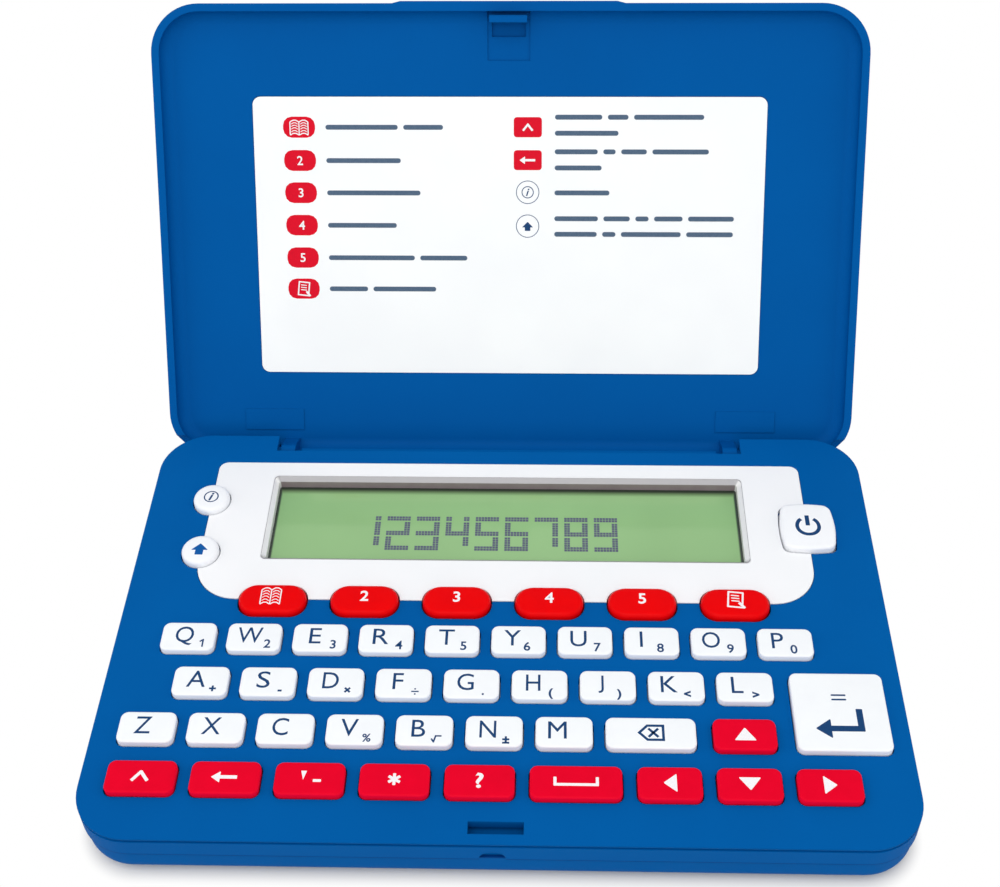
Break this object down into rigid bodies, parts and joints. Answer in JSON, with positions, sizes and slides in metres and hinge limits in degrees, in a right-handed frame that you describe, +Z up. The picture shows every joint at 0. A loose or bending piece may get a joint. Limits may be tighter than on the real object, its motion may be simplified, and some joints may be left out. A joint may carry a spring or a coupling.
{
  "type": "electronic dictionary",
  "caption": "Pocket electronic dictionary with a hinged lid, a dot-matrix display, a full letter keyboard, coloured command keys and a sliding battery door.",
  "frame": {"origin": "middle of the flat underside of the base", "axes": "+X to the right of the keyboard, +Y to the hinge, +Z up through the keys"},
  "size_m": [0.138, 0.1377, 0.0844],
  "materials": {
    "case_upper": "fine satin",
    "case_lower": "fine satin",
    "fascia_white": "smooth",
    "bezel_silver": "satin",
    "lcd_green": "matt film over glass",
    "board_green": "lacquered",
    "mat_rubber": "matt",
    "cell_steel": "satin",
    "contact_brass": "plated",
    "screw_steel": "satin",
    "lid_blue": "fine satin",
    "card_white": "printed card",
    "key_red": "satin",
    "key_white": "satin"
  },
  "bodies": {
    "base": {"top_case": "case_upper", "bottom_case": "case_lower", "display_fascia": "fascia_white", "display_bezel": "bezel_silver", "lcd_panel": "lcd_green", "circuit_board": "board_green", "keypad_mat": "mat_rubber", "coin_cells": "cell_steel", "battery_contacts": "contact_brass", "case_screws": "screw_steel"},
    "lid": {"lid_shell": "lid_blue", "lid_card": "card_white"},
    "battery_door": {"battery_door": "case_lower"},
    "key_q": {"key_q": "key_white"},
    "key_w": {"key_w": "key_white"},
    "key_e": {"key_e": "key_white"},
    "key_r": {"key_r": "key_white"},
    "key_t": {"key_t": "key_white"},
    "key_y": {"key_y": "key_white"},
    "key_u": {"key_u": "key_white"},
    "key_i": {"key_i": "key_white"},
    "key_o": {"key_o": "key_white"},
    "key_p": {"key_p": "key_white"},
    "key_a": {"key_a": "key_white"},
    "key_s": {"key_s": "key_white"},
    "key_d": {"key_d": "key_white"},
    "key_f": {"key_f": "key_white"},
    "key_g": {"key_g": "key_white"},
    "key_h": {"key_h": "key_white"},
    "key_j": {"key_j": "key_white"},
    "key_k": {"key_k": "key_white"},
    "key_l": {"key_l": "key_white"},
    "key_z": {"key_z": "key_white"},
    "key_x": {"key_x": "key_white"},
    "key_c": {"key_c": "key_white"},
    "key_v": {"key_v": "key_white"},
    "key_b": {"key_b": "key_white"},
    "key_n": {"key_n": "key_white"},
    "key_m": {"key_m": "key_white"},
    "key_delete": {"key_delete": "key_white"},
    "key_space": {"key_space": "key_red"},
    "key_up": {"key_up": "key_red"},
    "key_left": {"key_left": "key_red"},
    "key_down": {"key_down": "key_red"},
    "key_right": {"key_right": "key_red"},
    "key_control": {"key_control": "key_red"},
    "key_echo": {"key_echo": "key_red"},
    "key_accent": {"key_accent": "key_red"},
    "key_star": {"key_star": "key_red"},
    "key_help": {"key_help": "key_red"},
    "key_enter": {"key_enter": "key_white"},
    "key_function_1": {"key_function_1": "key_red"},
    "key_function_2": {"key_function_2": "key_red"},
    "key_function_3": {"key_function_3": "key_red"},
    "key_function_4": {"key_function_4": "key_red"},
    "key_function_5": {"key_function_5": "key_red"},
    "key_function_6": {"key_function_6": "key_red"},
    "key_info": {"key_info": "key_white"},
    "key_shift": {"key_shift": "key_white"},
    "key_power": {"key_power": "key_white"}
  },
  "joints": [
    {"name": "lid_hinge", "type": "hinge", "parent": "base", "child": "lid", "pos_m": [0, 0.043, 0.0088], "axis": [1, 0, 0], "range_deg": [0, 120]},
    {"name": "battery_door_slide", "type": "slide", "parent": "base", "child": "battery_door", "axis": [0, 1, 0], "range_m": [0, 0.01]},
    {"name": "key_q_press", "type": "slide", "parent": "base", "child": "key_q", "axis": [0, 0, -1], "range_m": [0, 0.0008], "stiffness_N_per_m": 400, "springref_m": -0.0003, "deforming": ["keypad_mat"]},
    {"name": "key_w_press", "type": "slide", "parent": "base", "child": "key_w", "axis": [0, 0, -1], "range_m": [0, 0.0008], "stiffness_N_per_m": 400, "springref_m": -0.0003, "deforming": ["keypad_mat"]},
    {"name": "key_e_press", "type": "slide", "parent": "base", "child": "key_e", "axis": [0, 0, -1], "range_m": [0, 0.0008], "stiffness_N_per_m": 400, "springref_m": -0.0003, "deforming": ["keypad_mat"]},
    {"name": "key_r_press", "type": "slide", "parent": "base", "child": "key_r", "axis": [0, 0, -1], "range_m": [0, 0.0008], "stiffness_N_per_m": 400, "springref_m": -0.0003, "deforming": ["keypad_mat"]},
    {"name": "key_t_press", "type": "slide", "parent": "base", "child": "key_t", "axis": [0, 0, -1], "range_m": [0, 0.0008], "stiffness_N_per_m": 400, "springref_m": -0.0003, "deforming": ["keypad_mat"]},
    {"name": "key_y_press", "type": "slide", "parent": "base", "child": "key_y", "axis": [0, 0, -1], "range_m": [0, 0.0008], "stiffness_N_per_m": 400, "springref_m": -0.0003, "deforming": ["keypad_mat"]},
    {"name": "key_u_press", "type": "slide", "parent": "base", "child": "key_u", "axis": [0, 0, -1], "range_m": [0, 0.0008], "stiffness_N_per_m": 400, "springref_m": -0.0003, "deforming": ["keypad_mat"]},
    {"name": "key_i_press", "type": "slide", "parent": "base", "child": "key_i", "axis": [0, 0, -1], "range_m": [0, 0.0008], "stiffness_N_per_m": 400, "springref_m": -0.0003, "deforming": ["keypad_mat"]},
    {"name": "key_o_press", "type": "slide", "parent": "base", "child": "key_o", "axis": [0, 0, -1], "range_m": [0, 0.0008], "stiffness_N_per_m": 400, "springref_m": -0.0003, "deforming": ["keypad_mat"]},
    {"name": "key_p_press", "type": "slide", "parent": "base", "child": "key_p", "axis": [0, 0, -1], "range_m": [0, 0.0008], "stiffness_N_per_m": 400, "springref_m": -0.0003, "deforming": ["keypad_mat"]},
    {"name": "key_a_press", "type": "slide", "parent": "base", "child": "key_a", "axis": [0, 0, -1], "range_m": [0, 0.0008], "stiffness_N_per_m": 400, "springref_m": -0.0003, "deforming": ["keypad_mat"]},
    {"name": "key_s_press", "type": "slide", "parent": "base", "child": "key_s", "axis": [0, 0, -1], "range_m": [0, 0.0008], "stiffness_N_per_m": 400, "springref_m": -0.0003, "deforming": ["keypad_mat"]},
    {"name": "key_d_press", "type": "slide", "parent": "base", "child": "key_d", "axis": [0, 0, -1], "range_m": [0, 0.0008], "stiffness_N_per_m": 400, "springref_m": -0.0003, "deforming": ["keypad_mat"]},
    {"name": "key_f_press", "type": "slide", "parent": "base", "child": "key_f", "axis": [0, 0, -1], "range_m": [0, 0.0008], "stiffness_N_per_m": 400, "springref_m": -0.0003, "deforming": ["keypad_mat"]},
    {"name": "key_g_press", "type": "slide", "parent": "base", "child": "key_g", "axis": [0, 0, -1], "range_m": [0, 0.0008], "stiffness_N_per_m": 400, "springref_m": -0.0003, "deforming": ["keypad_mat"]},
    {"name": "key_h_press", "type": "slide", "parent": "base", "child": "key_h", "axis": [0, 0, -1], "range_m": [0, 0.0008], "stiffness_N_per_m": 400, "springref_m": -0.0003, "deforming": ["keypad_mat"]},
    {"name": "key_j_press", "type": "slide", "parent": "base", "child": "key_j", "axis": [0, 0, -1], "range_m": [0, 0.0008], "stiffness_N_per_m": 400, "springref_m": -0.0003, "deforming": ["keypad_mat"]},
    {"name": "key_k_press", "type": "slide", "parent": "base", "child": "key_k", "axis": [0, 0, -1], "range_m": [0, 0.0008], "stiffness_N_per_m": 400, "springref_m": -0.0003, "deforming": ["keypad_mat"]},
    {"name": "key_l_press", "type": "slide", "parent": "base", "child": "key_l", "axis": [0, 0, -1], "range_m": [0, 0.0008], "stiffness_N_per_m": 400, "springref_m": -0.0003, "deforming": ["keypad_mat"]},
    {"name": "key_z_press", "type": "slide", "parent": "base", "child": "key_z", "axis": [0, 0, -1], "range_m": [0, 0.0008], "stiffness_N_per_m": 400, "springref_m": -0.0003, "deforming": ["keypad_mat"]},
    {"name": "key_x_press", "type": "slide", "parent": "base", "child": "key_x", "axis": [0, 0, -1], "range_m": [0, 0.0008], "stiffness_N_per_m": 400, "springref_m": -0.0003, "deforming": ["keypad_mat"]},
    {"name": "key_c_press", "type": "slide", "parent": "base", "child": "key_c", "axis": [0, 0, -1], "range_m": [0, 0.0008], "stiffness_N_per_m": 400, "springref_m": -0.0003, "deforming": ["keypad_mat"]},
    {"name": "key_v_press", "type": "slide", "parent": "base", "child": "key_v", "axis": [0, 0, -1], "range_m": [0, 0.0008], "stiffness_N_per_m": 400, "springref_m": -0.0003, "deforming": ["keypad_mat"]},
    {"name": "key_b_press", "type": "slide", "parent": "base", "child": "key_b", "axis": [0, 0, -1], "range_m": [0, 0.0008], "stiffness_N_per_m": 400, "springref_m": -0.0003, "deforming": ["keypad_mat"]},
    {"name": "key_n_press", "type": "slide", "parent": "base", "child": "key_n", "axis": [0, 0, -1], "range_m": [0, 0.0008], "stiffness_N_per_m": 400, "springref_m": -0.0003, "deforming": ["keypad_mat"]},
    {"name": "key_m_press", "type": "slide", "parent": "base", "child": "key_m", "axis": [0, 0, -1], "range_m": [0, 0.0008], "stiffness_N_per_m": 400, "springref_m": -0.0003, "deforming": ["keypad_mat"]},
    {"name": "key_delete_press", "type": "slide", "parent": "base", "child": "key_delete", "axis": [0, 0, -1], "range_m": [0, 0.0008], "stiffness_N_per_m": 400, "springref_m": -0.0003, "deforming": ["keypad_mat"]},
    {"name": "key_space_press", "type": "slide", "parent": "base", "child": "key_space", "axis": [0, 0, -1], "range_m": [0, 0.0008], "stiffness_N_per_m": 400, "springref_m": -0.0003, "deforming": ["keypad_mat"]},
    {"name": "key_up_press", "type": "slide", "parent": "base", "child": "key_up", "axis": [0, 0, -1], "range_m": [0, 0.0008], "stiffness_N_per_m": 400, "springref_m": -0.0003, "deforming": ["keypad_mat"]},
    {"name": "key_left_press", "type": "slide", "parent": "base", "child": "key_left", "axis": [0, 0, -1], "range_m": [0, 0.0008], "stiffness_N_per_m": 400, "springref_m": -0.0003, "deforming": ["keypad_mat"]},
    {"name": "key_down_press", "type": "slide", "parent": "base", "child": "key_down", "axis": [0, 0, -1], "range_m": [0, 0.0008], "stiffness_N_per_m": 400, "springref_m": -0.0003, "deforming": ["keypad_mat"]},
    {"name": "key_right_press", "type": "slide", "parent": "base", "child": "key_right", "axis": [0, 0, -1], "range_m": [0, 0.0008], "stiffness_N_per_m": 400, "springref_m": -0.0003, "deforming": ["keypad_mat"]},
    {"name": "key_control_press", "type": "slide", "parent": "base", "child": "key_control", "axis": [0, 0, -1], "range_m": [0, 0.0008], "stiffness_N_per_m": 400, "springref_m": -0.0003, "deforming": ["keypad_mat"]},
    {"name": "key_echo_press", "type": "slide", "parent": "base", "child": "key_echo", "axis": [0, 0, -1], "range_m": [0, 0.0008], "stiffness_N_per_m": 400, "springref_m": -0.0003, "deforming": ["keypad_mat"]},
    {"name": "key_accent_press", "type": "slide", "parent": "base", "child": "key_accent", "axis": [0, 0, -1], "range_m": [0, 0.0008], "stiffness_N_per_m": 400, "springref_m": -0.0003, "deforming": ["keypad_mat"]},
    {"name": "key_star_press", "type": "slide", "parent": "base", "child": "key_star", "axis": [0, 0, -1], "range_m": [0, 0.0008], "stiffness_N_per_m": 400, "springref_m": -0.0003, "deforming": ["keypad_mat"]},
    {"name": "key_help_press", "type": "slide", "parent": "base", "child": "key_help", "axis": [0, 0, -1], "range_m": [0, 0.0008], "stiffness_N_per_m": 400, "springref_m": -0.0003, "deforming": ["keypad_mat"]},
    {"name": "key_enter_press", "type": "slide", "parent": "base", "child": "key_enter", "axis": [0, 0, -1], "range_m": [0, 0.0008], "stiffness_N_per_m": 400, "springref_m": -0.0003, "deforming": ["keypad_mat"]},
    {"name": "key_function_1_press", "type": "slide", "parent": "base", "child": "key_function_1", "axis": [0, 0, -1], "range_m": [0, 0.0008], "stiffness_N_per_m": 400, "springref_m": -0.0003, "deforming": ["keypad_mat"]},
    {"name": "key_function_2_press", "type": "slide", "parent": "base", "child": "key_function_2", "axis": [0, 0, -1], "range_m": [0, 0.0008], "stiffness_N_per_m": 400, "springref_m": -0.0003, "deforming": ["keypad_mat"]},
    {"name": "key_function_3_press", "type": "slide", "parent": "base", "child": "key_function_3", "axis": [0, 0, -1], "range_m": [0, 0.0008], "stiffness_N_per_m": 400, "springref_m": -0.0003, "deforming": ["keypad_mat"]},
    {"name": "key_function_4_press", "type": "slide", "parent": "base", "child": "key_function_4", "axis": [0, 0, -1], "range_m": [0, 0.0008], "stiffness_N_per_m": 400, "springref_m": -0.0003, "deforming": ["keypad_mat"]},
    {"name": "key_function_5_press", "type": "slide", "parent": "base", "child": "key_function_5", "axis": [0, 0, -1], "range_m": [0, 0.0008], "stiffness_N_per_m": 400, "springref_m": -0.0003, "deforming": ["keypad_mat"]},
    {"name": "key_function_6_press", "type": "slide", "parent": "base", "child": "key_function_6", "axis": [0, 0, -1], "range_m": [0, 0.0008], "stiffness_N_per_m": 400, "springref_m": -0.0003, "deforming": ["keypad_mat"]},
    {"name": "key_info_press", "type": "slide", "parent": "base", "child": "key_info", "axis": [0, 0, -1], "range_m": [0, 0.0008], "stiffness_N_per_m": 400, "springref_m": -0.0003, "deforming": ["keypad_mat"]},
    {"name": "key_shift_press", "type": "slide", "parent": "base", "child": "key_shift", "axis": [0, 0, -1], "range_m": [0, 0.0008], "stiffness_N_per_m": 400, "springref_m": -0.0003, "deforming": ["keypad_mat"]},
    {"name": "key_power_press", "type": "slide", "parent": "base", "child": "key_power", "axis": [0, 0, -1], "range_m": [0, 0.0008], "stiffness_N_per_m": 400, "springref_m": -0.0003, "deforming": ["keypad_mat"]}
  ]
}
